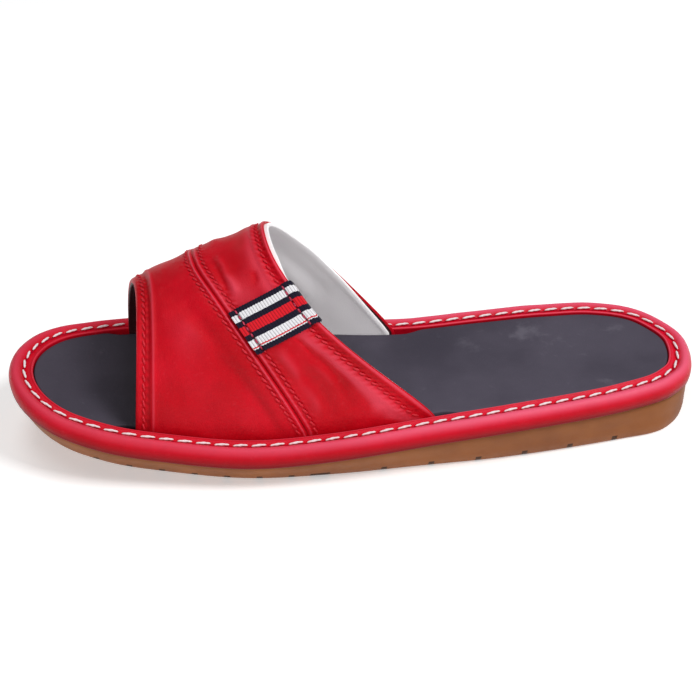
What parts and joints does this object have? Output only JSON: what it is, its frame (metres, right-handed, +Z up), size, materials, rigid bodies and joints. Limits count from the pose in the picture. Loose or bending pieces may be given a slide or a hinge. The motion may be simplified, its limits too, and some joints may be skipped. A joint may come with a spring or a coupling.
{
  "type": "open-toe house slipper",
  "caption": "Left leather slide slipper, open at toe and heel, with a two-panel band, rolled edge ring, padded insole, ribbon tab and rubber wedge sole.",
  "frame": {"origin": "on the floor, under the middle of the bounding box of the sole", "axes": "+X along the shoe from toe to heel, +Y to the inner (medial) side, +Z up"},
  "size_m": [0.2668, 0.0988, 0.0811],
  "materials": {
    "sole_rubber": "smooth gum rubber, satin",
    "edge_leather": "smooth red leather, softly glossy",
    "insole_cloth": "charcoal insole cloth, matt",
    "upper_leather": "soft red leather, softly glossy, creased",
    "ribbon": "ribbed grosgrain with navy, white and red stripes",
    "lining": "pale grey lining cloth, matt",
    "white_thread": "thick white sewing thread",
    "red_thread": "red sewing thread"
  },
  "bodies": {
    "root": {"outsole": "sole_rubber", "binding": "edge_leather", "insole": "insole_cloth", "upper": "upper_leather", "ribbon_tab": "ribbon"}
  },
  "joints": []
}
